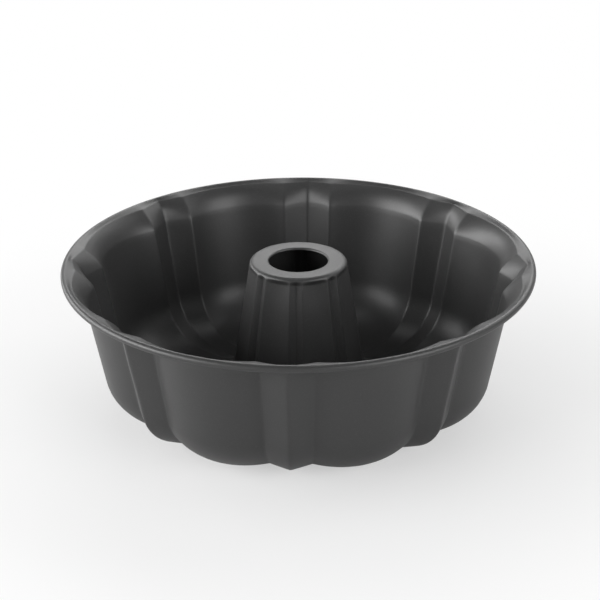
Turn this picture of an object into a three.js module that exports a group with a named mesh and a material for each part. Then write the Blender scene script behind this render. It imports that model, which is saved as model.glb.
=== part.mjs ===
// Fluted ring pan for baking, pressed from coated sheet steel. Millimetres, +Z up.
// The origin is on the pan's axis, in the plane of its feet, and a narrow ridge faces -Y.
//
// Three pieces: the drawn shell with its trough and rolled rim, the centre tube that is
// lock-seamed into the hole in the shell's floor, and the wire that the rim is rolled around.
//
// Each piece is a cross-section carried round the axis. The cross-section follows the food side
// of the sheet, and every stop along it says how far the flutes push the sheet away there.

import * as THREE from 'three';

// Driving dimensions: overall
const RIM_DIAMETER = 268; // over the rolled rim
const PAN_HEIGHT = 85; // from the feet to the top of the rolled rim
const SHEET = 0.8; // steel thickness
const FIT = 0.3; // clearance between two pieces that lie against each other

// Rolled rim and lip
const WIRE_DIAMETER = 2; // stiffening wire inside the roll
const ROLL_TURN = 265; // degrees that the edge is rolled on from the lip
const LIP_SLOPE = 15; // degrees that the lip falls towards the trough
const LIP_WIDTH = 2; // from the roll in to the ridges
const LIP_BEND = 2; // radius under the lip where it turns down into the wall

// Wall and trough, measured in the valleys between the flutes
const RIM_OVERHANG = 8; // from the rim's edge in to the ridges, if the wall ran up straight
const WALL_DRAFT = 10.7; // degrees that the wall leans out
const FLARE_HEIGHT = 13; // from the rim down to where the wall starts to swing out to the lip
const FLARE_POWER = 1.5; // 1 swings out along a straight line, and more curves the flare
const TROUGH_RADIUS = 28.7; // bend from the wall into the floor
const TUBE_FOOT_RADIUS = 28.7; // bend from the floor up into the tube
const LEAST_FLOOR = 4; // flat floor that stays between the two bends
const FOOT_PRESS = 0.3; // depth to which the feet under the lobes are pressed flat

// Flutes
const FLUTES = 8; // wide lobes, with as many narrow ridges between them
const RIDGE_WIDTH = 29; // across one ridge, valley to valley, at the top of the wall
const WALL_RIDGE = 7.2; // height of the ridges over the valleys on the wall
const WALL_LOBE = 6.2; // height of the lobes over the valleys on the wall
const LIP_RIDGE = 3.6; // the same where the wall meets the lip
const LIP_LOBE = 3.2;
const FLOOR_RIDGE = 1.5; // and on the trough's floor
const FLOOR_LOBE = 2.2;
const TUBE_RIDGE = 2; // depth of the grooves that carry on up the tube
const TUBE_LOBE = 1.7;

// Centre tube
const TUBE_DIAMETER = 55.2; // the tube's cone, carried up to the level of its top
const TUBE_DRAFT = 9; // degrees that the cone leans in
const SHOULDER_BEND = 2.2; // radius under the sheet between the cone and the flat ring
const FLUTE_START = 1.1; // from the flat ring down to where the tube's flutes begin
const FLUTE_FULL = 4.5; // and down to where they have their whole depth
const HOLE_DIAMETER = 33.6; // through the flat ring
const HOLE_BEND = 0.3; // radius under the sheet where the hole's edge turns down
const COLLAR_DEPTH = 1.4; // from the flat ring to the end of the turned-down edge

// Lock seam between shell and tube
const SEAM_RISE = 50; // degrees up the tube's foot bend at which the seam lies
const SEAM_WIDTH = 5; // flange that the shell turns in towards the axis

// Facets
const LOBE_STEPS = 6;
const ROLL_STEPS = 7;
const BEND_STEPS = 4;
const LIP_STEPS = 2;
const FLARE_STEPS = 4;
const WALL_STEPS = 3;
const TROUGH_STEPS = 7;
const WIRE_SIDES = 6;

const rad = THREE.MathUtils.degToRad;
const lerp = THREE.MathUtils.lerp;

// Sizes that follow from the driving ones
const rimRadius = RIM_DIAMETER / 2;
const rollInside = WIRE_DIAMETER / 2 + FIT;
const rollRadius = rollInside + SHEET;
const rollCentre = new THREE.Vector2(rimRadius - rollRadius, PAN_HEIGHT - rollRadius);
const lipSlope = rad(LIP_SLOPE);
const wallDraft = rad(WALL_DRAFT);
const tubeDraft = rad(TUBE_DRAFT);
const tubeTop = PAN_HEIGHT; // level with the rim, so that the pan stands on both when turned over
const floorHeight = FLOOR_LOBE - FOOT_PRESS + SHEET;
const wallRadiusAtRim = rimRadius - RIM_OVERHANG - WALL_RIDGE - SHEET / Math.cos(wallDraft);
const pitch = (2 * Math.PI) / FLUTES;
const ridgeHalf = Math.asin(RIDGE_WIDTH / 2 / wallRadiusAtRim);
const front = rad(-90);

/** Unit vector in the cross-section: 0 points away from the axis, a right angle points up. */
function facing(angle) {
  return new THREE.Vector2(Math.cos(angle), Math.sin(angle));
}

/** Radius of the wall's food side at a height. */
function wallRadius(height) {
  return wallRadiusAtRim - (PAN_HEIGHT - height) * Math.tan(wallDraft);
}

/** Radius of the tube's food side at a height. */
function tubeRadius(height) {
  return TUBE_DIAMETER / 2 + (tubeTop - height) * Math.tan(tubeDraft);
}

// The floor's two bends, drawn in together where the trough is too narrow for them
const wallBendReach = Math.tan((Math.PI / 2 - wallDraft) / 2);
const tubeBendReach = Math.tan((Math.PI / 2 - tubeDraft) / 2);
const troughWidth = wallRadius(floorHeight) - tubeRadius(floorHeight);
const bendsWidth = TROUGH_RADIUS * wallBendReach + TUBE_FOOT_RADIUS * tubeBendReach;
const bendShare = Math.min(1, (troughWidth - LEAST_FLOOR) / bendsWidth);
const troughBend = TROUGH_RADIUS * bendShare;
const footBend = TUBE_FOOT_RADIUS * bendShare;
const troughCentre = new THREE.Vector2(
  wallRadius(floorHeight) - troughBend * wallBendReach,
  floorHeight + troughBend,
);
const footCentre = new THREE.Vector2(
  tubeRadius(floorHeight) + footBend * tubeBendReach,
  floorHeight + footBend,
);

/** Place on the tube's foot bend, at an angle up from the floor. */
function onFootBend(rise) {
  return footCentre.clone().addScaledVector(facing(-Math.PI / 2 - rise), footBend);
}

const seamRise = rad(SEAM_RISE);
const seam = onFootBend(seamRise);
const tubeFootRise = Math.acos(Math.cos(seamRise) - FIT / footBend);
const flangeEdge = seam.x - SEAM_WIDTH;

/** A push by the flutes: a direction in the cross-section and the ridges' and lobes' height. */
function push(direction, ridge, lobe) {
  return { direction, ridge, lobe };
}

const UNFLUTED = push(new THREE.Vector2(), 0, 0);

/** A stop on the food side of a sheet: its place, the food side's normal and the flutes' push. */
function stop(place, normal, pushed = UNFLUTED) {
  return { place, normal, pushed };
}

/** Normal for a corner between two straight runs, long enough to keep the sheet's thickness. */
function mitre(normalBefore, normalAfter) {
  const sum = normalBefore.clone().add(normalAfter);
  return sum.divideScalar(1 + normalBefore.dot(normalAfter));
}

/**
 * Stops along a bend, from one facing angle to another about a centre.
 * side is 1 where the food side looks away from the centre and -1 where it looks at it, and
 * pushAt gives the push from the share of the bend that lies behind the stop.
 */
function bend(centre, radius, from, to, side, steps, pushAt = () => UNFLUTED) {
  return Array.from({ length: steps + 1 }, (_, index) => {
    const share = index / steps;
    const out = facing(lerp(from, to, share));
    const place = centre.clone().addScaledVector(out, radius);
    return stop(place, out.multiplyScalar(side), pushAt(share));
  });
}

/** How far the flutes stand out at an angle round the axis. */
function fluteHeight(angle, { ridge, lobe }) {
  const fromCrest = Math.abs(angle - pitch * Math.round(angle / pitch));
  const fromLobe = (pitch / 2 - fromCrest) / (pitch / 2 - ridgeHalf);
  return Math.max(ridge * (1 - fromCrest / ridgeHalf), lobe * (1 - fromLobe * fromLobe));
}

/** Angles of the facets' columns: each crest, each valley and the steps across each lobe. */
function columnAngles() {
  const lobeWidth = pitch - 2 * ridgeHalf;
  return Array.from({ length: FLUTES }, (_, flute) => {
    const crest = flute * pitch;
    const lobe = Array.from(
      { length: LOBE_STEPS + 1 },
      (_, step) => crest + ridgeHalf + (lobeWidth * step) / LOBE_STEPS,
    );
    return [crest, ...lobe];
  }).flat();
}

/** Closed cross-section of a sheet: its food side, then its back, kept above the ground. */
function sheetSection(stops, ground = -Infinity) {
  const foodSide = stops.map(({ place, pushed }) => ({ place, pushed, least: ground + SHEET }));
  const back = stops.map(({ place, normal, pushed }) => ({
    place: place.clone().addScaledVector(normal, -SHEET),
    pushed,
    least: ground,
  }));
  return [...foodSide, ...back.reverse()];
}

/** Carries a closed cross-section round the axis, pushing each place out by the flutes. */
function carryRound(section) {
  const columns = columnAngles();
  const positions = columns.flatMap((angle) =>
    section.flatMap(({ place, pushed, least = -Infinity }) => {
      const at = place.clone().addScaledVector(pushed.direction, fluteHeight(angle, pushed));
      const round = facing(front + angle);
      return [at.x * round.x, at.x * round.y, Math.max(at.y, least)];
    }),
  );
  const faces = columns.flatMap((_, column) => {
    const here = column * section.length;
    const next = ((column + 1) % columns.length) * section.length;
    return section.flatMap((_, row) => {
      const after = (row + 1) % section.length;
      return [here + row, next + row, next + after, here + row, next + after, here + after];
    });
  });
  const geometry = new THREE.BufferGeometry();
  geometry.setAttribute('position', new THREE.Float32BufferAttribute(positions, 3));
  geometry.setIndex(faces);
  geometry.computeVertexNormals();
  return geometry;
}

/** Rim roll, lip, flare, fluted wall, trough floor and the flange for the seam. */
function shellStops() {
  const lipFacing = Math.PI / 2 + lipSlope;
  const roll = bend(rollCentre, rollRadius, lipFacing - rad(ROLL_TURN), lipFacing, 1, ROLL_STEPS);

  // The lip falls from the roll to a corner, which lies furthest in along the valleys
  const corner = roll.at(-1).place.clone().addScaledVector(facing(lipSlope), -LIP_WIDTH - LIP_RIDGE);
  const flareFoot = PAN_HEIGHT - FLARE_HEIGHT;
  const flareRise = corner.y - flareFoot;
  const flareReach = corner.x - wallRadius(corner.y);

  /** Lean of the flare from upright, at a share of its height. */
  function flareLean(share) {
    const steepness = (FLARE_POWER * share ** (FLARE_POWER - 1) * flareReach) / flareRise;
    return Math.atan(Math.tan(wallDraft) + steepness);
  }

  const bendRadius = LIP_BEND + SHEET;
  const bendReach = bendRadius * Math.tan((Math.PI / 2 - lipSlope - flareLean(1)) / 2);
  const bendStart = corner.clone().addScaledVector(facing(lipSlope), bendReach);
  const bendCentre = bendStart.clone().addScaledVector(facing(lipFacing), -bendRadius);
  const level = facing(0);
  const lipPush = push(level, LIP_RIDGE, LIP_LOBE);
  const flareFacing = Math.PI - flareLean(1);
  const lipBend = bend(bendCentre, bendRadius, lipFacing, flareFacing, 1, LIP_STEPS, () => lipPush);

  // Down the flare the valleys swing in to the straight wall, and the flutes gain height
  const flare = Array.from({ length: FLARE_STEPS }, (_, index) => {
    const share = 1 - (index + 1) / FLARE_STEPS;
    const height = lerp(flareFoot, corner.y, share);
    const place = new THREE.Vector2(wallRadius(height) + flareReach * share ** FLARE_POWER, height);
    const fade = THREE.MathUtils.smoothstep(share, 0, 1);
    const ridge = lerp(WALL_RIDGE, LIP_RIDGE, fade);
    const lobe = lerp(WALL_LOBE, LIP_LOBE, fade);
    return stop(place, facing(Math.PI - flareLean(share)), push(level, ridge, lobe));
  });

  const trough = bend(
    troughCentre, troughBend, -wallDraft, -Math.PI / 2, -1, TROUGH_STEPS,
    (share) => push(
      facing(lerp(-wallDraft, -Math.PI / 2, share)),
      lerp(WALL_RIDGE, FLOOR_RIDGE, share),
      lerp(WALL_LOBE, FLOOR_LOBE, share),
    ),
  );

  // Down the wall the push turns from level to square on the wall
  const wallTop = flare.at(-1);
  const wall = Array.from({ length: WALL_STEPS - 1 }, (_, index) => {
    const share = (index + 1) / WALL_STEPS;
    const place = wallTop.place.clone().lerp(trough[0].place, share);
    const direction = facing(-wallDraft * share);
    return stop(place, wallTop.normal, push(direction, WALL_RIDGE, WALL_LOBE));
  });

  const foot = bend(
    footCentre, footBend, -Math.PI / 2, -Math.PI / 2 - seamRise, -1, BEND_STEPS,
    (share) => push(
      facing(-Math.PI / 2 - seamRise * share),
      lerp(FLOOR_RIDGE, 0, share),
      lerp(FLOOR_LOBE, 0, share),
    ),
  );
  const up = facing(Math.PI / 2);
  const flangeBend = foot.pop();
  const flange = [
    stop(flangeBend.place, mitre(flangeBend.normal, up)),
    stop(new THREE.Vector2(flangeEdge, seam.y), up),
  ];
  return [...roll, ...lipBend, ...flare, ...wall, ...trough, ...foot, ...flange];
}

/** Hem round the shell's flange, foot, fluted cone, shoulder, flat ring and turned-down collar. */
function tubeStops() {
  const up = facing(Math.PI / 2);
  const down = facing(-Math.PI / 2);

  // The hem wraps the flange and ends short of the bend that the flange springs from
  const hemBelow = seam.y - SHEET - FIT;
  const flangeRoot = seam.x - SHEET * mitre(facing(Math.PI / 2 - seamRise), up).x;
  const hemCentre = new THREE.Vector2(flangeEdge, seam.y - SHEET / 2);
  const hem = [
    stop(new THREE.Vector2(flangeRoot - FIT, hemBelow), up),
    ...bend(hemCentre, SHEET / 2 + FIT, -Math.PI / 2, -Math.PI * 1.5, -1, BEND_STEPS),
  ];

  const coneRise = Math.PI / 2 - tubeDraft;
  const foot = bend(
    footCentre, footBend, -Math.PI / 2 - tubeFootRise, -Math.PI / 2 - coneRise, -1, BEND_STEPS,
    (share) => push(
      facing(-Math.PI / 2 - lerp(tubeFootRise, coneRise, share)), TUBE_RIDGE * share, TUBE_LOBE * share,
    ),
  );
  foot[0] = stop(foot[0].place, mitre(down, foot[0].normal));

  // Below the shoulder the flutes run out, so that the flat ring on top is round
  const shoulderBend = SHOULDER_BEND + SHEET;
  const ringRadius = TUBE_DIAMETER / 2 - shoulderBend * tubeBendReach;
  const shoulderCentre = new THREE.Vector2(ringRadius, tubeTop - shoulderBend);
  const fluteEnd = new THREE.Vector2(tubeRadius(tubeTop - FLUTE_FULL), tubeTop - FLUTE_FULL);
  const shoulder = [
    stop(fluteEnd, facing(tubeDraft)),
    ...bend(shoulderCentre, shoulderBend, tubeDraft, Math.PI / 2, 1, BEND_STEPS),
  ].map(({ place, normal }) => {
    const depth = THREE.MathUtils.smoothstep(tubeTop - place.y, FLUTE_START, FLUTE_FULL);
    return stop(place, normal, push(facing(Math.PI + tubeDraft), TUBE_RIDGE * depth, TUBE_LOBE * depth));
  });

  const holeBend = HOLE_BEND + SHEET;
  const holeRadius = HOLE_DIAMETER / 2;
  const holeCentre = new THREE.Vector2(holeRadius + holeBend, tubeTop - holeBend);
  const holeEdge = bend(holeCentre, holeBend, Math.PI / 2, Math.PI, 1, BEND_STEPS);
  const collar = stop(new THREE.Vector2(holeRadius, tubeTop - COLLAR_DEPTH), facing(Math.PI));
  return [...hem, ...foot, ...shoulder, ...holeEdge, collar];
}

/** The wire's round cross-section. */
function wireSection() {
  const round = bend(rollCentre, WIRE_DIAMETER / 2, 0, 2 * Math.PI, 1, WIRE_SIDES);
  return round.slice(0, -1);
}

const coatedSteel = new THREE.MeshStandardMaterial({ color: 0x4c4c4e, roughness: 0.42, metalness: 0.3 });
const wireSteel = new THREE.MeshStandardMaterial({ color: 0x9a9a9c, roughness: 0.35, metalness: 1 });

/** A named piece of the pan. */
function piece(name, section, material) {
  const mesh = new THREE.Mesh(carryRound(section), material);
  mesh.name = name;
  return mesh;
}

const pan = new THREE.Group();
pan.name = 'fluted_ring_pan';
pan.add(
  piece('fluted_shell', sheetSection(shellStops(), 0), coatedSteel),
  piece('centre_tube', sheetSection(tubeStops()), coatedSteel),
  piece('rim_wire', wireSection(), wireSteel),
);

export default pan;
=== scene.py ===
"""Looks of a fluted ring pan for baking, pressed from steel and coated in satin dark grey.

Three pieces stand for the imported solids: the drawn shell with its trough and rolled rim, the
centre tube that is seamed into the shell's floor, and the wire that the rim is rolled around.
Each is a cross-section that one Geometry Nodes tree carries round the axis, while it pushes the
sheet out into flutes. Metres, +Z up, with the origin on the axis in the plane of the feet, and a
narrow ridge of the wall facing -Y.
"""

from __future__ import annotations

import logging
import math
from abc import ABC, abstractmethod
from collections.abc import Callable
from dataclasses import dataclass
from enum import Enum
from typing import Any

import bpy
from mathutils import Matrix, Vector

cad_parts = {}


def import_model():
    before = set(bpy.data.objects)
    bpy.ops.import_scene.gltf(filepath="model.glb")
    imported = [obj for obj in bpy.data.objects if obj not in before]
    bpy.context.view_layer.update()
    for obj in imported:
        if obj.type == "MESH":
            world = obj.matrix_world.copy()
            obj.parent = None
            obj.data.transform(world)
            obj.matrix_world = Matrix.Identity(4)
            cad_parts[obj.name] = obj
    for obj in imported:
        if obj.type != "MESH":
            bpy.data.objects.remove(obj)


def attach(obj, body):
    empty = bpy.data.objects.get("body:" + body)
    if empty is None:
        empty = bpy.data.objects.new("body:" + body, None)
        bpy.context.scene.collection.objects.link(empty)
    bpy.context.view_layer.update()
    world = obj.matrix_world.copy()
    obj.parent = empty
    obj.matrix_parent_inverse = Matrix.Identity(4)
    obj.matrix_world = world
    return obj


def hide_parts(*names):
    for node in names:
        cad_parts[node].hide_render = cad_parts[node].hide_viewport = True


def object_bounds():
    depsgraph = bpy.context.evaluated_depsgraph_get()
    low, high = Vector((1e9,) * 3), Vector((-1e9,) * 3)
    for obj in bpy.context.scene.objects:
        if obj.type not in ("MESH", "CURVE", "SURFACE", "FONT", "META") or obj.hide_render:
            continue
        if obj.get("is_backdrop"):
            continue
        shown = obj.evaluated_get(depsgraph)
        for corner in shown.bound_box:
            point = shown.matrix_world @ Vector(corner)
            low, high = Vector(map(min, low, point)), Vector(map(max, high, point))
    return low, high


LOG = logging.getLogger("ring_pan")
BODY = "root"
MM = 0.001

# Facing angles in a cross-section, in which 0 points away from the axis.
UP = math.pi / 2
DOWN = -math.pi / 2

# A height that every point of the pan stays above.
FAR_BELOW = -1.0

Colour = tuple[float, float, float]
Span = tuple[float, float]


class Term:
    """A node's output, worked with in Python arithmetic."""

    def __init__(self, graph: Graph, socket: bpy.types.NodeSocket | None) -> None:
        """Keeps the graph that the output belongs to, and its socket."""
        self.graph = graph
        self.socket = socket

    def output(self, name: str) -> Term:
        """Another output of the same node, by its name."""
        return Term(self.graph, self.socket.node.outputs[name])

    def __add__(self, other: Term | float) -> Term:
        """This value plus another."""
        return self.graph.math("ADD", self, other)

    __radd__ = __add__

    def __sub__(self, other: Term | float) -> Term:
        """This value less another."""
        return self.graph.math("SUBTRACT", self, other)

    def __rsub__(self, other: float) -> Term:
        """A number less this value."""
        return self.graph.math("SUBTRACT", other, self)

    def __mul__(self, other: Term | float) -> Term:
        """This value times another."""
        return self.graph.math("MULTIPLY", self, other)

    __rmul__ = __mul__

    def __truediv__(self, other: Term | float) -> Term:
        """This value divided by another."""
        return self.graph.math("DIVIDE", self, other)

    def __rtruediv__(self, other: float) -> Term:
        """A number divided by this value."""
        return self.graph.math("DIVIDE", other, self)

    def __mod__(self, other: Term | float) -> Term:
        """What is left of this value after whole steps of another."""
        return self.graph.math("FLOORED_MODULO", self, other)

    def __gt__(self, other: Term | float) -> Term:
        """1 where this value is above another, and otherwise 0."""
        return self.graph.math("GREATER_THAN", self, other)

    def __neg__(self) -> Term:
        """This value with its sign turned round."""
        return self.graph.math("MULTIPLY", self, -1.0)


class Graph:
    """A shader or geometry tree that is put together from Python expressions."""

    # Numbers of the Mix node's two colour sockets, which share their names with its other sockets.
    MIX_COLOURS = (6, 7)

    def __init__(self, tree: bpy.types.NodeTree) -> None:
        """Starts on a tree, without the nodes that it came with."""
        self.tree = tree
        tree.nodes.clear()

    def node(
        self,
        kind: str,
        settings: dict[str, Any] | None = None,
        sockets: dict[str | int, Any] | None = None,
    ) -> Term:
        """Adds a node, sets it up and links it.

        Args:
            kind: Type of the node, such as "ShaderNodeTexNoise".
            settings: Properties of the node, which are set first.
            sockets: Values or terms for its inputs, by name or by number.

        Returns:
            The node's first output that is in use.
        """
        node = self.tree.nodes.new(kind)
        for name, value in (settings or {}).items():
            setattr(node, name, value)
        for name, value in (sockets or {}).items():
            if isinstance(value, Term):
                self.tree.links.new(value.socket, node.inputs[name])
            else:
                node.inputs[name].default_value = value
        return Term(self, next((socket for socket in node.outputs if socket.enabled), None))

    def math(self, operation: str, *values: Term | float) -> Term:
        """The result of a Math node's operation on some values."""
        return self.node("ShaderNodeMath", {"operation": operation}, dict(enumerate(values)))

    def clamp(self, value: Term) -> Term:
        """A value kept between 0 and 1."""
        return self.math("MINIMUM", self.math("MAXIMUM", value, 0.0), 1.0)

    def between(self, value: Term, low: float, high: float) -> Term:
        """0 below one level of a value, 1 above another, and a soft step between them."""
        sockets = {"Value": value, "From Min": low, "From Max": high}
        return self.node("ShaderNodeMapRange", {"interpolation_type": "SMOOTHSTEP"}, sockets)

    def mix(self, share: Term, first: Term | Colour, second: Term | Colour) -> Term:
        """A colour that goes from one to another with a share.

        Args:
            share: 0 for the first colour, 1 for the second.
            first: First colour.
            second: Second colour.

        Returns:
            The mixed colour.
        """
        ends = [end if isinstance(end, Term) else (*end, 1.0) for end in (first, second)]
        sockets = {"Factor": share, **dict(zip(self.MIX_COLOURS, ends))}
        return self.node("ShaderNodeMix", {"data_type": "RGBA"}, sockets)

    def noise(self, place: Term, size: float, detail: float = 2.0) -> Term:
        """Noise whose patches have about a given size in metres."""
        sockets = {"Vector": place, "Scale": 1 / size, "Detail": detail}
        return self.node("ShaderNodeTexNoise", {}, sockets)


def add_object(name: str, data: bpy.types.ID) -> bpy.types.Object:
    """Puts a new object in the scene.

    Args:
        name: Name of the object.
        data: Its mesh, lamp or camera.

    Returns:
        The object, at the origin.
    """
    added = bpy.data.objects.new(name, data)
    bpy.context.scene.collection.objects.link(added)
    return added


class FoodSide(Enum):
    """Which way the food side of the sheet looks in a bend."""

    AWAY_FROM_CENTRE = 1
    TO_CENTRE = -1


@dataclass(frozen=True)
class Push:
    """How the flutes push the sheet: a direction, and the height of the ridges and lobes."""

    direction: Vector = Vector((0, 0))
    ridge: float = 0.0
    lobe: float = 0.0

    def part(self, share: float) -> Push:
        """The same push, with a share of its height."""
        return Push(self.direction, self.ridge * share, self.lobe * share)


UNFLUTED = Push()
PushAt = Callable[[float], Push]


@dataclass(frozen=True)
class Stop:
    """A stop along the food side of the sheet: its place, its normal and the flutes' push."""

    place: Vector
    normal: Vector
    pushed: Push = UNFLUTED


@dataclass(frozen=True)
class SectionPoint:
    """A point of a closed cross-section, with the least height that it keeps."""

    place: Vector
    pushed: Push = UNFLUTED
    least: float = FAR_BELOW


def facing(angle: float) -> Vector:
    """Unit vector in the cross-section: 0 points away from the axis, a right angle up."""
    return Vector((math.cos(angle), math.sin(angle)))


def lerp(start: float, end: float, share: float) -> float:
    """A number on the way from one to another."""
    return start + (end - start) * share


def ease(share: float) -> float:
    """A share that starts and ends gently."""
    return share * share * (3 - 2 * share)


def no_push(share: float) -> Push:
    """The push where the flutes don't reach."""
    return UNFLUTED


def bend(
    centre: Vector,
    radius: float,
    turn: Span,
    side: FoodSide,
    steps: int,
    push_at: PushAt = no_push,
) -> list[Stop]:
    """Stops along a bend of the sheet.

    Args:
        centre: Centre of the bend, as radius and height.
        radius: Radius of the food side.
        turn: Facing angles of the first and the last stop, seen from the centre.
        side: Which way the food side looks.
        steps: Number of steps.
        push_at: Gives the flutes' push from the share of the bend that lies behind.

    Returns:
        The stops, one more than the steps.
    """
    stops = []
    for step in range(steps + 1):
        share = step / steps
        out = facing(lerp(*turn, share))
        stops.append(Stop(centre + out * radius, out * side.value, push_at(share)))
    return stops


def straight(first: Stop, last: Stop, steps: int, push_at: PushAt) -> list[Stop]:
    """Stops along a straight run, without the two that it lies between.

    Args:
        first: Stop before the run.
        last: Stop after the run.
        steps: Number of steps from one to the other.
        push_at: Gives the flutes' push from the share of the run that lies behind.

    Returns:
        The stops in between.
    """
    shares = [step / steps for step in range(1, steps)]
    return [Stop(first.place.lerp(last.place, share), first.normal, push_at(share)) for share in shares]


@dataclass(frozen=True)
class PanForm:
    """Sizes that the pan's pieces share, in metres and radians.

    The wall and the trough are measured on the food side, in the valleys between the flutes. The
    front ridge is the angle round the axis at which the flutes start.
    """

    rim_radius: float
    height: float
    sheet: float = 0.8 * MM
    fit: float = 0.3 * MM
    wire_radius: float = 1 * MM
    lip_slope: float = math.radians(15)
    rim_overhang: float = 8 * MM
    wall_draft: float = math.radians(10.7)
    floor_bend: float = 28.7 * MM
    foot_press: float = 0.3 * MM
    flutes: int = 8
    front_ridge: float = math.radians(-90)
    ridge_width: float = 29 * MM
    wall_ridge: float = 7.2 * MM
    wall_lobe: float = 6.2 * MM
    floor_ridge: float = 1.5 * MM
    floor_lobe: float = 2.2 * MM
    tube_top_radius: float = 27.6 * MM
    tube_draft: float = math.radians(9)
    seam_rise: float = math.radians(50)
    seam_width: float = 5 * MM
    fold_inside: float = 0.2 * MM

    @property
    def roll_radius(self) -> float:
        """Outer radius of the rolled rim."""
        return self.wire_radius + self.fit + self.sheet

    @property
    def roll_centre(self) -> Vector:
        """Centre of the rolled rim and of its wire."""
        return Vector((self.rim_radius - self.roll_radius, self.height - self.roll_radius))

    @property
    def lip_facing(self) -> float:
        """Facing angle of the lip's food side."""
        return UP + self.lip_slope

    @property
    def floor_height(self) -> float:
        """Height of the trough's floor, which leaves room for the lobes under it."""
        return self.floor_lobe - self.foot_press + self.sheet

    @property
    def wall_top_radius(self) -> float:
        """Radius of the wall, carried up to the rim's height."""
        outside = self.rim_radius - self.rim_overhang - self.wall_ridge
        return outside - self.sheet / math.cos(self.wall_draft)

    @property
    def ridge_half(self) -> float:
        """Angle round the axis from a ridge's crest to the valley beside it."""
        return math.asin(self.ridge_width / 2 / self.wall_top_radius)

    def wall_radius(self, height: float) -> float:
        """Radius of the wall at a height."""
        return self.wall_top_radius - (self.height - height) * math.tan(self.wall_draft)

    def tube_radius(self, height: float) -> float:
        """Radius of the tube's cone at a height."""
        return self.tube_top_radius + (self.height - height) * math.tan(self.tube_draft)

    @property
    def trough_centre(self) -> Vector:
        """Centre of the bend from the wall into the floor."""
        reach = self.floor_bend * math.tan((math.pi / 2 - self.wall_draft) / 2)
        return Vector((self.wall_radius(self.floor_height) - reach, self.floor_height + self.floor_bend))

    @property
    def foot_centre(self) -> Vector:
        """Centre of the bend from the floor up into the tube."""
        reach = self.floor_bend * math.tan((math.pi / 2 - self.tube_draft) / 2)
        return Vector((self.tube_radius(self.floor_height) + reach, self.floor_height + self.floor_bend))

    @property
    def seam_height(self) -> float:
        """Height of the flange that the shell turns in for the lock seam."""
        return self.foot_centre.y - self.floor_bend * math.cos(self.seam_rise)

    @property
    def flange_edge(self) -> float:
        """Radius of the edge of that flange."""
        return self.foot_centre.x - self.floor_bend * math.sin(self.seam_rise) - self.seam_width

    @property
    def fold_radius(self) -> float:
        """Outer radius of the folds beside the seam."""
        return self.fold_inside + self.sheet

    def fold_centre(self, height: float) -> Vector:
        """Centre of a fold that touches the foot bend from behind.

        Args:
            height: Height of the centre.

        Returns:
            The centre, as radius and height.
        """
        reach = self.floor_bend + self.fold_radius
        drop = self.foot_centre.y - height
        return Vector((self.foot_centre.x - math.sqrt(reach * reach - drop * drop), height))

    def fold_facing(self, height: float) -> float:
        """Facing angle at which that fold runs on into the foot bend."""
        across = self.foot_centre - self.fold_centre(height)
        return math.atan2(across.y, across.x)

    def closed_sheet(
        self, stops: list[Stop], ground: float = FAR_BELOW, nose_steps: int = 4
    ) -> list[SectionPoint]:
        """Closed cross-section of the sheet, with rounded edges.

        Args:
            stops: The food side, from one edge of the sheet to the other.
            ground: Height that the back of the sheet doesn't go below.
            nose_steps: Steps round each of the sheet's two edges.

        Returns:
            Points along the food side, round one edge, along the back and round the other edge.
        """
        food_side = [SectionPoint(stop.place, stop.pushed, ground + self.sheet) for stop in stops]
        back = [
            SectionPoint(stop.place - stop.normal * self.sheet, stop.pushed, ground)
            for stop in reversed(stops)
        ]
        return [
            *food_side,
            *self._nose(stops[-1], 0.0, nose_steps),
            *back,
            *self._nose(stops[0], math.pi, nose_steps),
        ]

    def _nose(self, stop: Stop, start: float, steps: int) -> list[SectionPoint]:
        """Points round an edge of the sheet.

        Args:
            stop: Last stop before the edge.
            start: Angle at which the points start, counted from the stop's normal.
            steps: Steps of the half turn round the edge.

        Returns:
            The points, without the two on the sheet's faces.
        """
        centre = stop.place - stop.normal * self.sheet / 2
        first = math.atan2(stop.normal.y, stop.normal.x) + start
        angles = [first + math.pi * step / steps for step in range(1, steps)]
        return [SectionPoint(centre + facing(angle) * self.sheet / 2) for angle in angles]


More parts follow.
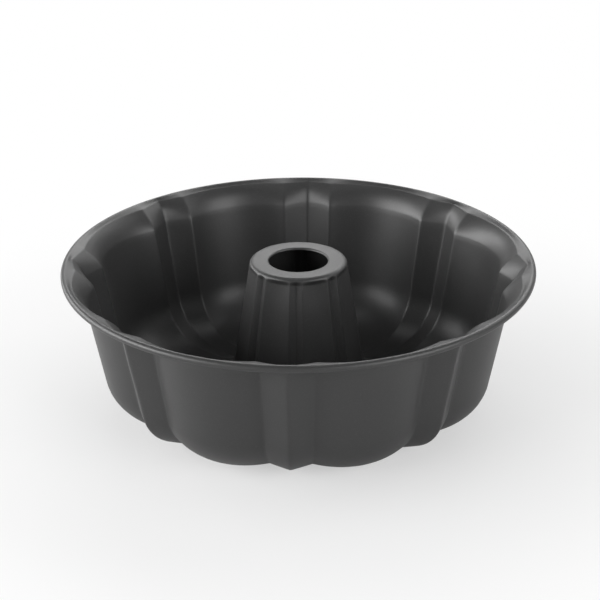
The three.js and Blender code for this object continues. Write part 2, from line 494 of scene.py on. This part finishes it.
class FluteTree:
    """Geometry Nodes tree that carries a cross-section round the axis and flutes it.

    The columns of the skin stand closest at the crests and valleys, where the sheet turns most.
    """

    INPUTS = {
        "Cross Section": "NodeSocketGeometry",
        "Flutes": "NodeSocketInt",
        "Flank Columns": "NodeSocketInt",
        "Lobe Columns": "NodeSocketInt",
        "Ridge Half Angle": "NodeSocketFloat",
        "Crest Softness": "NodeSocketFloat",
        "Valley Softness": "NodeSocketFloat",
        "Front Angle": "NodeSocketFloat",
        "Finish": "NodeSocketMaterial",
    }
    # How much closer the columns stand there, from 0 to 1.
    CROWDING = 0.6
    # Distance within which the skin's ends are joined.
    WELD = 1e-6
    # Added to a point's number, so that rounding can't take it to the column before.
    HALF_POINT = 0.5

    def __init__(self) -> None:
        """Makes the tree, its named inputs and its nodes."""
        self.tree = bpy.data.node_groups.new("flute_round_axis", "GeometryNodeTree")
        self.graph = Graph(self.tree)
        self.identifiers = {
            name: self.tree.interface.new_socket(name, in_out="INPUT", socket_type=kind).identifier
            for name, kind in self.INPUTS.items()
        }
        self.tree.interface.new_socket("Skin", in_out="OUTPUT", socket_type="NodeSocketGeometry")
        self.given = self.graph.node("NodeGroupInput")
        self.pitch = 2 * math.pi / self.given.output("Flutes")
        self.ridge_half = self.given.output("Ridge Half Angle")
        self.lobe_half = self.pitch / 2 - self.ridge_half
        self._skin()

    def _skin(self) -> None:
        """Adds the nodes of the skin, from its columns and rows to its finish."""
        graph = self.graph
        given = self.given
        section = given.output("Cross Section")
        rows = graph.node("GeometryNodeAttributeDomainSize", {}, {"Geometry": section})
        half_flute = given.output("Flank Columns") + given.output("Lobe Columns")
        columns = 2 * half_flute * given.output("Flutes")
        grid_size = {"Vertices X": columns + 1, "Vertices Y": rows + 1}
        grid = graph.node("GeometryNodeMeshGrid", {}, grid_size)
        index = graph.node("GeometryNodeInputIndex")
        column = graph.math("FLOOR", (index + self.HALF_POINT) / (rows + 1))
        row = (index - column * (rows + 1)) % rows

        from_crest, from_front = self._angles(column)
        angle = from_front + given.output("Front Angle")
        position = self._position(row, angle, self._flute_height(row, from_crest))
        skin = graph.node("GeometryNodeSetPosition", {}, {"Geometry": grid, "Position": position})
        skin = graph.node("GeometryNodeMergeByDistance", {}, {"Geometry": skin, "Distance": self.WELD})
        skin = graph.node("GeometryNodeSetShadeSmooth", {}, {"Geometry": skin})
        skin = graph.node("GeometryNodeRealizeInstances", {}, {"Geometry": skin})
        finished = {"Geometry": skin, "Material": given.output("Finish")}
        skin = graph.node("GeometryNodeSetMaterial", {}, finished)
        graph.node("NodeGroupOutput", {}, {"Skin": skin})

    def _angles(self, column: Term) -> tuple[Term, Term]:
        """Angles round the axis.

        Args:
            column: Number of the skin's column.

        Returns:
            The angle from the nearest crest, and the angle from the front ridge.
        """
        graph = self.graph
        flank = self.given.output("Flank Columns")
        lobe = self.given.output("Lobe Columns")
        half_flute = flank + lobe
        step = column % (2 * half_flute)
        from_crest_steps = graph.math("MINIMUM", step, 2 * half_flute - step)
        down_flank = self._crowded(graph.clamp(from_crest_steps / flank), 2)
        up_lobe = self._crowded(graph.clamp((from_crest_steps - flank) / lobe), 1)
        from_crest = self.ridge_half * down_flank + self.lobe_half * up_lobe
        past_lobe = step > half_flute
        flute_start = self.pitch * graph.math("FLOOR", column / (2 * half_flute))
        return from_crest, flute_start + from_crest + past_lobe * (self.pitch - 2 * from_crest)

    def _crowded(self, share: Term, ends: int) -> Term:
        """A share that changes slowly at its start, or with two ends at its start and its end."""
        wave = ends * math.pi
        return share - self.graph.math("SINE", wave * share) * (self.CROWDING / wave)

    def _flute_height(self, row: Term, from_crest: Term) -> Term:
        """Height of the flutes over the valleys, with rounded crests and valleys.

        Args:
            row: Number of the cross-section's point, which tells how high the flutes are.
            from_crest: Angle from the nearest crest.

        Returns:
            The height.
        """
        graph = self.graph
        ridge = self._sampled(row, "ridge", "FLOAT")
        lobe = self._sampled(row, "lobe", "FLOAT")
        crest_softness = self.given.output("Crest Softness")
        soft_crest = graph.math("SMOOTH_MAX", from_crest, -from_crest, crest_softness)
        from_lobe = (self.pitch / 2 - from_crest) / self.lobe_half
        ridge_height = ridge * (1 - soft_crest / self.ridge_half)
        lobe_height = lobe * (1 - from_lobe * from_lobe)
        valley_softness = ridge * self.given.output("Valley Softness")
        return graph.math("SMOOTH_MAX", ridge_height, lobe_height, valley_softness)

    def _position(self, row: Term, angle: Term, height: Term) -> Term:
        """Place of the skin's points.

        Args:
            row: Number of the cross-section's point.
            angle: Angle round the axis.
            height: Height of the flutes.

        Returns:
            The place.
        """
        graph = self.graph
        place = self._axes(self._sampled(row, "position", "FLOAT_VECTOR"))
        push = self._axes(self._sampled(row, "push", "FLOAT_VECTOR"))
        least = self._sampled(row, "least", "FLOAT")
        radius = place["X"] + push["X"] * height
        parts = {
            "X": radius * graph.math("COSINE", angle),
            "Y": radius * graph.math("SINE", angle),
            "Z": graph.math("MAXIMUM", place["Z"] + push["Z"] * height, least),
        }
        return graph.node("ShaderNodeCombineXYZ", {}, parts)

    def _sampled(self, row: Term, name: str, kind: str) -> Term:
        """An attribute of one of the cross-section's points.

        Args:
            row: Number of the point.
            name: Name of the attribute.
            kind: Its data type.

        Returns:
            The attribute's value.
        """
        attribute = self.graph.node("GeometryNodeInputNamedAttribute", {"data_type": kind}, {"Name": name})
        sockets = {"Geometry": self.given.output("Cross Section"), "Value": attribute, "Index": row}
        return self.graph.node("GeometryNodeSampleIndex", {"data_type": kind}, sockets)

    def _axes(self, vector: Term) -> dict[str, Term]:
        """The three parts of a vector, by the names of the axes."""
        parts = self.graph.node("ShaderNodeSeparateXYZ", {}, {"Vector": vector})
        return {axis: parts.output(axis) for axis in "XYZ"}

    def carry_round(
        self, name: str, section: list[SectionPoint], sizes: dict[str, Any]
    ) -> bpy.types.Object:
        """Makes a piece from its cross-section.

        Args:
            name: Name of the piece.
            section: Its closed cross-section.
            sizes: Values for the tree's named inputs.

        Returns:
            The piece, as a plain mesh at the origin.
        """
        outline = self._outline(f"{name}_cross_section", section)
        piece = add_object(name, outline)
        modifier = piece.modifiers.new("flutes", "NODES")
        modifier.node_group = self.tree
        for size, value in sizes.items():
            modifier[self.identifiers[size]] = value
        depsgraph = bpy.context.evaluated_depsgraph_get()
        skin = bpy.data.meshes.new_from_object(piece.evaluated_get(depsgraph))
        skin.name = name
        piece.modifiers.remove(modifier)
        piece.data = skin
        bpy.data.meshes.remove(outline)
        return piece

    def _outline(self, name: str, section: list[SectionPoint]) -> bpy.types.Mesh:
        """Makes the mesh that the tree takes a cross-section from.

        Args:
            name: Name of the mesh.
            section: The closed cross-section.

        Returns:
            A ring of points and edges, with the flutes' push as attributes of the points.
        """
        outline = bpy.data.meshes.new(name)
        places = [(point.place.x, 0.0, point.place.y) for point in section]
        edges = [(row, (row + 1) % len(section)) for row in range(len(section))]
        outline.from_pydata(places, edges, [])
        heights = {
            "ridge": [point.pushed.ridge for point in section],
            "lobe": [point.pushed.lobe for point in section],
            "least": [point.least for point in section],
        }
        for height, values in heights.items():
            outline.attributes.new(height, "FLOAT", "POINT").data.foreach_set("value", values)
        directions = [point.pushed.direction for point in section]
        pushes = [part for direction in directions for part in (direction.x, 0.0, direction.y)]
        outline.attributes.new("push", "FLOAT_VECTOR", "POINT").data.foreach_set("vector", pushes)
        return outline


@dataclass(frozen=True)
class Finish(ABC):
    """A finish, from which a material is made."""

    name: str

    @abstractmethod
    def shader(self, graph: Graph) -> Term:
        """The finish's shader, in a graph of its own."""

    def material(self) -> bpy.types.Material:
        """Makes the finish's material.

        Returns:
            The material.
        """
        material = bpy.data.materials.new(self.name)
        material.use_nodes = True
        graph = Graph(material.node_tree)
        graph.node("ShaderNodeOutputMaterial", {}, {"Surface": self.shader(graph)})
        return material


@dataclass(frozen=True)
class NonStickCoating(Finish):
    """Satin dark grey non-stick coating, sprayed on the pressed steel and baked."""

    name: str = "non_stick_coating"
    colour: Colour = (0.025, 0.025, 0.025)
    pale_fleck: Colour = (0.04, 0.04, 0.04)
    gloss_roughness: float = 0.40
    matt_roughness: float = 0.46
    cloud_size: float = 45 * MM
    cloud_edges: Span = (0.35, 0.65)
    cloud_share: float = 0.08
    fleck_size: float = 0.9 * MM
    fleck_edges: Span = (0.5, 0.75)
    fleck_share: float = 0.5
    peel_size: float = 1.6 * MM
    peel_depth: float = 0.012 * MM

    def shader(self, graph: Graph) -> Term:
        """Adds the coating's nodes: clouded tone, fine flecks and an orange-peel surface.

        Args:
            graph: Graph of the material.

        Returns:
            The shader.
        """
        place = graph.node("ShaderNodeTexCoord").output("Object")
        cloud = graph.between(graph.noise(place, self.cloud_size, detail=3.0), *self.cloud_edges)
        fleck = graph.between(graph.noise(place, self.fleck_size), *self.fleck_edges)
        peel = graph.noise(place, self.peel_size, detail=1.0)
        paleness = self.fleck_share * fleck + self.cloud_share * cloud
        tone = graph.mix(paleness, self.colour, self.pale_fleck)
        roughness = self.gloss_roughness + cloud * (self.matt_roughness - self.gloss_roughness)
        normal = graph.node("ShaderNodeBump", {}, {"Height": peel, "Distance": self.peel_depth})
        surface = {"Base Color": tone, "Roughness": roughness, "Normal": normal}
        return graph.node("ShaderNodeBsdfPrincipled", {}, surface)


@dataclass(frozen=True)
class DrawnWire(Finish):
    """Bare steel wire, with the fine lines of the die that it was drawn through."""

    name: str = "drawn_wire"
    colour: Colour = (0.42, 0.41, 0.40)
    dull_colour: Colour = (0.27, 0.26, 0.25)
    bright_roughness: float = 0.24
    dull_roughness: float = 0.42
    line_size: float = 0.12 * MM
    line_depth: float = 0.005 * MM
    stain_size: float = 9 * MM
    stain_edges: Span = (0.4, 0.7)

    def shader(self, graph: Graph) -> Term:
        """Adds the wire's nodes: die lines round the ring, and dull stains.

        Args:
            graph: Graph of the material.

        Returns:
            The shader.
        """
        place = graph.node("ShaderNodeTexCoord").output("Object")
        parts = graph.node("ShaderNodeSeparateXYZ", {}, {"Vector": place})
        across, along, height = (parts.output(axis) for axis in "XYZ")
        radius = graph.math("SQRT", across * across + along * along)
        ring_place = graph.node("ShaderNodeCombineXYZ", {}, {"X": radius, "Z": height})
        line = graph.noise(ring_place, self.line_size)
        stain = graph.between(graph.noise(place, self.stain_size, detail=4.0), *self.stain_edges)
        tone = graph.mix(stain, self.colour, self.dull_colour)
        roughness = self.bright_roughness + stain * (self.dull_roughness - self.bright_roughness)
        normal = graph.node("ShaderNodeBump", {}, {"Height": line, "Distance": self.line_depth})
        surface = {"Base Color": tone, "Roughness": roughness, "Normal": normal, "Metallic": 1.0}
        return graph.node("ShaderNodeBsdfPrincipled", {}, surface)


@dataclass(frozen=True)
class FluteSoftness:
    """How softly the press turns the sheet at the flutes, and how finely the skin follows."""

    crest: float = math.radians(1.2)
    valley: float = 0.12
    flank_columns: int = 9
    lobe_columns: int = 12

    def sizes(self, form: PanForm, finish: bpy.types.Material) -> dict[str, Any]:
        """Values for the flute tree's inputs.

        Args:
            form: Sizes of the pan.
            finish: Material of the piece.

        Returns:
            The values, by the names of the inputs.
        """
        return {
            "Flutes": form.flutes,
            "Flank Columns": self.flank_columns,
            "Lobe Columns": self.lobe_columns,
            "Ridge Half Angle": form.ridge_half,
            "Crest Softness": self.crest,
            "Valley Softness": self.valley,
            "Front Angle": form.front_ridge,
            "Finish": finish,
        }


@dataclass(frozen=True)
class RoundPiece(ABC):
    """A piece of the pan that is carried round the axis from its cross-section."""

    form: PanForm
    softness: FluteSoftness
    name: str
    stands_for: str
    slot: str

    @abstractmethod
    def section(self) -> list[SectionPoint]:
        """The piece's closed cross-section."""

    def build(self, tree: FluteTree, finish: bpy.types.Material) -> bpy.types.Object:
        """Makes the piece's mesh and dresses it.

        Args:
            tree: Tree that carries the cross-section round the axis.
            finish: Material of the piece.

        Returns:
            The piece.
        """
        return tree.carry_round(self.name, self.section(), self.softness.sizes(self.form, finish))


@dataclass(frozen=True)
class Flare:
    """The top of the wall, which swings out to the lip while its flutes lose height."""

    form: PanForm
    corner: Vector
    lip_push: Push
    height: float = 13 * MM
    power: float = 1.5

    @property
    def foot(self) -> float:
        """Height at which the wall starts to swing out."""
        return self.form.height - self.height

    @property
    def reach(self) -> float:
        """How far the valleys swing out from the straight wall."""
        return self.corner.x - self.form.wall_radius(self.corner.y)

    def lean(self, share: float) -> float:
        """Lean of the valleys from upright, at a share of the flare's height."""
        steepness = self.power * share ** (self.power - 1) * self.reach / (self.corner.y - self.foot)
        return math.atan(math.tan(self.form.wall_draft) + steepness)

    def stop(self, share: float) -> Stop:
        """A stop along the flare.

        Args:
            share: Share of the flare's height that lies below the stop.

        Returns:
            The stop, pushed by the flutes.
        """
        form = self.form
        height = lerp(self.foot, self.corner.y, share)
        place = Vector((form.wall_radius(height) + self.reach * share**self.power, height))
        ridge = lerp(form.wall_ridge, self.lip_push.ridge, ease(share))
        lobe = lerp(form.wall_lobe, self.lip_push.lobe, ease(share))
        return Stop(place, facing(math.pi - self.lean(share)), Push(self.lip_push.direction, ridge, lobe))


@dataclass(frozen=True)
class FlutedShell(RoundPiece):
    """The drawn shell: rolled rim, lip, flared and fluted wall, trough and the seam's flange."""

    name: str = "coated_shell"
    stands_for: str = "fluted_shell"
    slot: str = "coated_steel"
    roll_turn: float = math.radians(265)
    lip_width: float = 2 * MM
    lip_bend: float = 2 * MM
    lip_ridge: float = 3.6 * MM
    lip_lobe: float = 3.2 * MM
    ridge_sinking: float = 1.2 * MM
    roll_steps: int = 26
    lip_steps: int = 4
    flare_steps: int = 16
    bend_steps: int = 8
    wall_steps: int = 14
    trough_steps: int = 22
    floor_steps: int = 3
    foot_steps: int = 12

    @property
    def low_ridge(self) -> float:
        """Height of the ridges at the foot of the wall."""
        return self.form.wall_ridge - self.ridge_sinking

    def wall_push(self, share: float) -> Push:
        """The push on the wall, which turns square on the wall while its ridges sink a little."""
        ridge = lerp(self.form.wall_ridge, self.low_ridge, ease(share))
        return Push(facing(-self.form.wall_draft * share), ridge, self.form.wall_lobe)

    def trough_push(self, share: float) -> Push:
        """The push in the trough, which sinks to the floor's flutes.

        Args:
            share: Share of the bend that lies behind.

        Returns:
            The push.
        """
        form = self.form
        ridge = lerp(self.low_ridge, form.floor_ridge, ease(share))
        lobe = lerp(form.wall_lobe, form.floor_lobe, ease(share))
        return Push(facing(lerp(-form.wall_draft, DOWN, share)), ridge, lobe)

    def roll(self) -> list[Stop]:
        """Lays out the rolled rim.

        Returns:
            The stops, from the roll's hidden edge to the lip.
        """
        form = self.form
        turn = (form.lip_facing - self.roll_turn, form.lip_facing)
        return bend(form.roll_centre, form.roll_radius, turn, FoodSide.AWAY_FROM_CENTRE, self.roll_steps)

    def lip_and_flare(self, roll_end: Stop) -> list[Stop]:
        """Lays out the lip and the flare, down to the straight wall.

        Args:
            roll_end: Last stop of the roll.

        Returns:
            The stops after it.
        """
        form = self.form
        outward = facing(form.lip_slope)
        corner = roll_end.place - outward * (self.lip_width + self.lip_ridge)
        pushed = Push(facing(0.0), self.lip_ridge, self.lip_lobe)
        flare = Flare(form, corner, pushed)
        radius = self.lip_bend + form.sheet
        reach = radius * math.tan((math.pi / 2 - form.lip_slope - flare.lean(1.0)) / 2)
        centre = corner + outward * reach - facing(form.lip_facing) * radius
        turn = (form.lip_facing, math.pi - flare.lean(1.0))
        side = FoodSide.AWAY_FROM_CENTRE
        lip_bend = bend(centre, radius, turn, side, self.bend_steps, lambda share: pushed)
        lip = straight(roll_end, lip_bend[0], self.lip_steps, pushed.part)
        down_flare = [flare.stop(1 - step / self.flare_steps) for step in range(1, self.flare_steps + 1)]
        return [*lip, *lip_bend, *down_flare]

    def wall_and_trough(self, wall_top: Stop) -> list[Stop]:
        """Lays out the straight wall and the bend under it.

        Args:
            wall_top: Last stop of the flare.

        Returns:
            The stops after it, down to the floor.
        """
        form = self.form
        turn = (-form.wall_draft, DOWN)
        side = FoodSide.TO_CENTRE
        trough = bend(form.trough_centre, form.floor_bend, turn, side, self.trough_steps, self.trough_push)
        wall = straight(wall_top, trough[0], self.wall_steps, self.wall_push)
        return [*wall, *trough]

    def foot_and_flange(self) -> list[Stop]:
        """Lays out the bend up into the tube, the fold at the seam and the seam's flange.

        Returns:
            The stops, from the floor to the flange's edge.
        """
        form = self.form
        fold_height = form.seam_height - form.fold_radius
        fold_facing = form.fold_facing(fold_height)
        turn = (DOWN, fold_facing - math.pi)

        def foot_push(share: float) -> Push:
            """The push on the tube's foot, which runs out at the seam."""
            floor_push = Push(facing(lerp(*turn, share)), form.floor_ridge, form.floor_lobe)
            return floor_push.part(1 - ease(share))

        foot = bend(form.foot_centre, form.floor_bend, turn, FoodSide.TO_CENTRE, self.foot_steps, foot_push)
        fold = bend(
            form.fold_centre(fold_height),
            form.fold_radius,
            (fold_facing, UP),
            FoodSide.AWAY_FROM_CENTRE,
            self.bend_steps,
        )
        edge = Stop(Vector((form.flange_edge, form.seam_height)), facing(UP))
        return [*foot[:-1], *fold, edge]

    def section(self) -> list[SectionPoint]:
        """Lays out the whole shell.

        Returns:
            Its closed cross-section, which is pressed flat where it stands on the ground.
        """
        roll = self.roll()
        lip_and_flare = self.lip_and_flare(roll[-1])
        wall_and_trough = self.wall_and_trough(lip_and_flare[-1])
        foot = self.foot_and_flange()
        floor_start = wall_and_trough[-1]
        floor = straight(floor_start, foot[0], self.floor_steps, lambda share: floor_start.pushed)
        stops = [*roll, *lip_and_flare, *wall_and_trough, *floor, *foot]
        return self.form.closed_sheet(stops, ground=0.0)


@dataclass(frozen=True)
class CentreTube(RoundPiece):
    """The tube: its hem round the shell's flange, fluted cone, flat ring and turned-down hole."""

    name: str = "coated_tube"
    stands_for: str = "centre_tube"
    slot: str = "coated_steel"
    ridge: float = 2 * MM
    lobe: float = 1.7 * MM
    shoulder_bend: float = 2.2 * MM
    flute_start: float = 1.1 * MM
    flute_full: float = 4.5 * MM
    hole_radius: float = 16.8 * MM
    hole_bend: float = 0.3 * MM
    bend_steps: int = 8
    foot_steps: int = 12
    cone_steps: int = 6
    run_out_steps: int = 5
    ring_steps: int = 4

    def hem(self) -> list[Stop]:
        """Lays out the hem, round the shell's flange and out over it.

        Returns:
            The stops, from the hem's edge.
        """
        form = self.form
        below = form.seam_height - form.sheet - form.fit
        shell_fold = form.fold_centre(form.seam_height - form.fold_radius)
        hem_edge = Stop(Vector((shell_fold.x - form.fit, below)), facing(UP))
        centre = Vector((form.flange_edge, form.seam_height - form.sheet / 2))
        radius = form.sheet / 2 + form.fit
        turn = (DOWN, DOWN - math.pi)
        round_flange = bend(centre, radius, turn, FoodSide.TO_CENTRE, self.bend_steps)
        return [hem_edge, *round_flange]

    def foot(self) -> list[Stop]:
        """Lays out the fold at the seam and the foot's bend, up to the cone.

        Returns:
            The stops, from the hem.
        """
        form = self.form
        fold_height = form.seam_height + form.fit + form.fold_radius
        fold_facing = form.fold_facing(fold_height)
        fold = bend(
            form.fold_centre(fold_height),
            form.fold_radius,
            (DOWN, fold_facing),
            FoodSide.AWAY_FROM_CENTRE,
            self.bend_steps,
        )
        turn = (fold_facing - math.pi, form.tube_draft - math.pi)

        def foot_push(share: float) -> Push:
            """The push on the foot, which grows to the cone's flutes."""
            return Push(facing(lerp(*turn, share)), self.ridge, self.lobe).part(ease(share))

        foot = bend(form.foot_centre, form.floor_bend, turn, FoodSide.TO_CENTRE, self.foot_steps, foot_push)
        return [*fold[:-1], *foot]

    def run_out(self, stop: Stop) -> Stop:
        """Pushes a stop near the top by the flutes, which run out towards the ring.

        Args:
            stop: The stop, not yet pushed.

        Returns:
            The pushed stop.
        """
        depth = self.form.height - stop.place.y
        share = (depth - self.flute_start) / (self.flute_full - self.flute_start)
        whole = Push(facing(math.pi + self.form.tube_draft), self.ridge, self.lobe)
        return Stop(stop.place, stop.normal, whole.part(ease(min(max(share, 0.0), 1.0))))

    def top(self) -> list[Stop]:
        """Lays out the end of the cone, the shoulder, the flat ring and the hole's edge.

        Returns:
            The stops, from the full flutes to the hole.
        """
        form = self.form
        radius = self.shoulder_bend + form.sheet
        reach = radius * math.tan((math.pi / 2 - form.tube_draft) / 2)
        centre = Vector((form.tube_top_radius - reach, form.height - radius))
        side = FoodSide.AWAY_FROM_CENTRE
        shoulder = bend(centre, radius, (form.tube_draft, UP), side, self.bend_steps)

        height = form.height - self.flute_full
        flute_end = Stop(Vector((form.tube_radius(height), height)), shoulder[0].normal)
        cone_end = straight(flute_end, shoulder[0], self.run_out_steps, no_push)
        fluted = [self.run_out(stop) for stop in (flute_end, *cone_end, *shoulder)]

        radius = self.hole_bend + form.sheet
        centre = Vector((self.hole_radius + radius, form.height - radius))
        hole_edge = bend(centre, radius, (UP, math.pi), side, self.bend_steps)
        ring = straight(shoulder[-1], hole_edge[0], self.ring_steps, no_push)
        return [*fluted, *ring, *hole_edge]

    def section(self) -> list[SectionPoint]:
        """Lays out the whole tube.

        Returns:
            Its closed cross-section.
        """
        foot = self.foot()
        top = self.top()
        cone = straight(foot[-1], top[0], self.cone_steps, lambda share: foot[-1].pushed)
        return self.form.closed_sheet([*self.hem(), *foot, *cone, *top])


@dataclass(frozen=True)
class RimWire(RoundPiece):
    """The stiffening wire that the rim is rolled around."""

    name: str = "stiffening_wire"
    stands_for: str = "rim_wire"
    slot: str = "wire_steel"
    sides: int = 16

    def section(self) -> list[SectionPoint]:
        """Lays out the wire.

        Returns:
            Its round cross-section.
        """
        turn = (0.0, 2 * math.pi)
        form = self.form
        stops = bend(form.roll_centre, form.wire_radius, turn, FoodSide.AWAY_FROM_CENTRE, self.sides)
        return [SectionPoint(stop.place) for stop in stops[:-1]]


def towards(azimuth: float, elevation: float) -> Vector:
    """Unit vector from the pan to a place round it, by angles from the front and from level."""
    flat = math.cos(elevation)
    return Vector((math.sin(azimuth) * flat, -math.cos(azimuth) * flat, math.sin(elevation)))


def mirrored(rays: Term) -> Term:
    """1 for what is seen in gloss or through glass, and otherwise 0."""
    return rays.graph.clamp(rays.output("Is Glossy Ray") + rays.output("Is Transmission Ray"))


@dataclass(frozen=True)
class SoftBox:
    """A soft studio lamp that looks at the pan, placed by angles in degrees."""

    name: str
    azimuth: float
    elevation: float
    width: float
    height: float
    level: float
    distance: float = 2.0
    target: Vector = Vector((0, 0, 40 * MM))

    def build(self) -> None:
        """Makes the lamp, whose brightness per area is its level."""
        data = bpy.data.lights.new(self.name, "AREA")
        data.shape = "RECTANGLE"
        data.size = self.width
        data.size_y = self.height
        data.energy = self.level * math.pi * self.width * self.height
        lamp = add_object(self.name, data)
        back = towards(math.radians(self.azimuth), math.radians(self.elevation))
        lamp.location = self.target + back * self.distance
        lamp.rotation_euler = (-back).to_track_quat("-Z", "Y").to_euler()


@dataclass(frozen=True)
class PaleFloor(Finish):
    """Floor that keeps the pan's shadow, and fades to white away from the pan."""

    name: str = "pale_floor"
    colour: Colour = (0.75, 0.75, 0.75)
    white_near_pan: float = 0.5
    white_in_gloss: float = 0.08
    fade: Span = (150 * MM, 350 * MM)
    half_width: float = 4.0

    def shader(self, graph: Graph) -> Term:
        """Adds the floor's nodes: a lit surface, partly white to the camera and in gloss.

        Args:
            graph: Graph of the material.

        Returns:
            The shader.
        """
        rays = graph.node("ShaderNodeLightPath")
        place = graph.node("ShaderNodeTexCoord").output("Object")
        from_axis = graph.node("ShaderNodeVectorMath", {"operation": "LENGTH"}, {"Vector": place})
        whiteness = self.white_near_pan + (1 - self.white_near_pan) * graph.between(from_axis, *self.fade)
        share = rays.output("Is Camera Ray") * whiteness + mirrored(rays) * self.white_in_gloss
        matt = graph.node("ShaderNodeBsdfDiffuse", {}, {"Color": (*self.colour, 1.0)})
        white = graph.node("ShaderNodeEmission")
        return graph.node("ShaderNodeMixShader", {}, {"Fac": share, 1: matt, 2: white})

    def build(self) -> None:
        """Lays the floor in the plane of the pan's feet."""
        half = self.half_width
        mesh = bpy.data.meshes.new("floor")
        corners = [(-half, -half, 0), (half, -half, 0), (half, half, 0), (-half, half, 0)]
        mesh.from_pydata(corners, [], [(0, 1, 2, 3)])
        mesh.materials.append(self.material())
        floor = add_object("floor", mesh)
        floor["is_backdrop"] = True


@dataclass(frozen=True)
class Surround:
    """Surround that is white to the camera, and in gloss pale low down and dark above."""

    ambient: float = 0.2
    in_gloss: float = 0.5
    dark_overhead: Span = (0.5, 0.8)

    def build(self) -> None:
        """Makes the scene's world."""
        world = bpy.data.worlds.new("studio")
        world.use_nodes = True
        bpy.context.scene.world = world
        graph = Graph(world.node_tree)
        rays = graph.node("ShaderNodeLightPath")
        camera = rays.output("Is Camera Ray")
        gloss = mirrored(rays)
        direction = graph.node("ShaderNodeTexCoord").output("Generated")
        up = graph.node("ShaderNodeSeparateXYZ", {}, {"Vector": direction}).output("Z")
        paleness = self.in_gloss * (1 - graph.between(up, *self.dark_overhead))
        unseen = gloss * paleness + (1 - gloss) * self.ambient
        strength = camera + (1 - camera) * unseen
        shader = graph.node("ShaderNodeBackground", {}, {"Color": (1, 1, 1, 1), "Strength": strength})
        graph.node("ShaderNodeOutputWorld", {}, {"Surface": shader})


@dataclass(frozen=True)
class PhotoCamera:
    """Camera at the photograph's view, with its lens in millimetres."""

    distance: float = 949.6 * MM
    elevation: float = math.radians(24.79)
    azimuth: float = math.radians(2.85)
    roll: float = math.radians(-0.45)
    target_right: float = 0.8 * MM
    target_height: float = 59.7 * MM
    lens: float = 99.3

    def build(self) -> None:
        """Makes the camera, which looks at a place close to the pan's axis."""
        data = bpy.data.cameras.new("camera")
        data.lens = self.lens
        camera = add_object("camera", data)
        bpy.context.scene.camera = camera
        back = towards(self.azimuth, self.elevation)
        right = Vector((math.cos(self.azimuth), math.sin(self.azimuth), 0))
        target = right * self.target_right + Vector((0, 0, self.target_height))
        facing_pan = (-back).to_track_quat("-Z", "Y").to_matrix().to_4x4()
        roll = Matrix.Rotation(self.roll, 4, "Z")
        camera.matrix_world = Matrix.Translation(target + back * self.distance) @ facing_pan @ roll


@dataclass(frozen=True)
class Studio:
    """Pale floor, white surround, the photograph's camera and soft lamps."""

    floor: PaleFloor = PaleFloor()
    surround: Surround = Surround()
    camera: PhotoCamera = PhotoCamera()
    lamps: tuple[SoftBox, ...] = (
        SoftBox("left_box", azimuth=-74, elevation=16, width=2.3, height=1.1, level=7.8),
        SoftBox("right_box", azimuth=54, elevation=20, width=1.4, height=1.3, level=4.8),
        SoftBox("back_left_box", azimuth=-120, elevation=15, width=1.2, height=0.7, level=5.0),
        SoftBox("back_right_box", azimuth=135, elevation=38, width=1.3, height=0.9, level=2.2),
        SoftBox("back_box", azimuth=180, elevation=35, width=1.6, height=0.6, level=5.5),
        SoftBox("top_box", azimuth=0, elevation=90, width=1.4, height=0.9, level=1.2),
    )

    def build(self) -> None:
        """Makes the whole studio."""
        for fitting in (self.floor, self.surround, self.camera, *self.lamps):
            fitting.build()


def main() -> None:
    """Builds the pan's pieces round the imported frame, and the studio."""
    logging.basicConfig(level=logging.INFO, format="%(name)s: %(message)s")
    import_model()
    cad_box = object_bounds()
    bpy.context.scene.view_settings.view_transform = "Standard"

    form = PanForm(rim_radius=cad_box[1].x, height=cad_box[1].z)
    softness = FluteSoftness()
    coating = NonStickCoating().material()
    wire = DrawnWire().material()
    tree = FluteTree()
    dressed = (
        (FlutedShell(form, softness), coating),
        (CentreTube(form, softness), coating),
        (RimWire(form, softness), wire),
    )
    for part, finish in dressed:
        piece = part.build(tree, finish)
        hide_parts(part.stands_for)
        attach(piece, BODY)
        LOG.info("%s: %d faces, for %s", part.name, len(piece.data.polygons), part.stands_for)

    Studio().build()


if __name__ == "__main__":
    main()
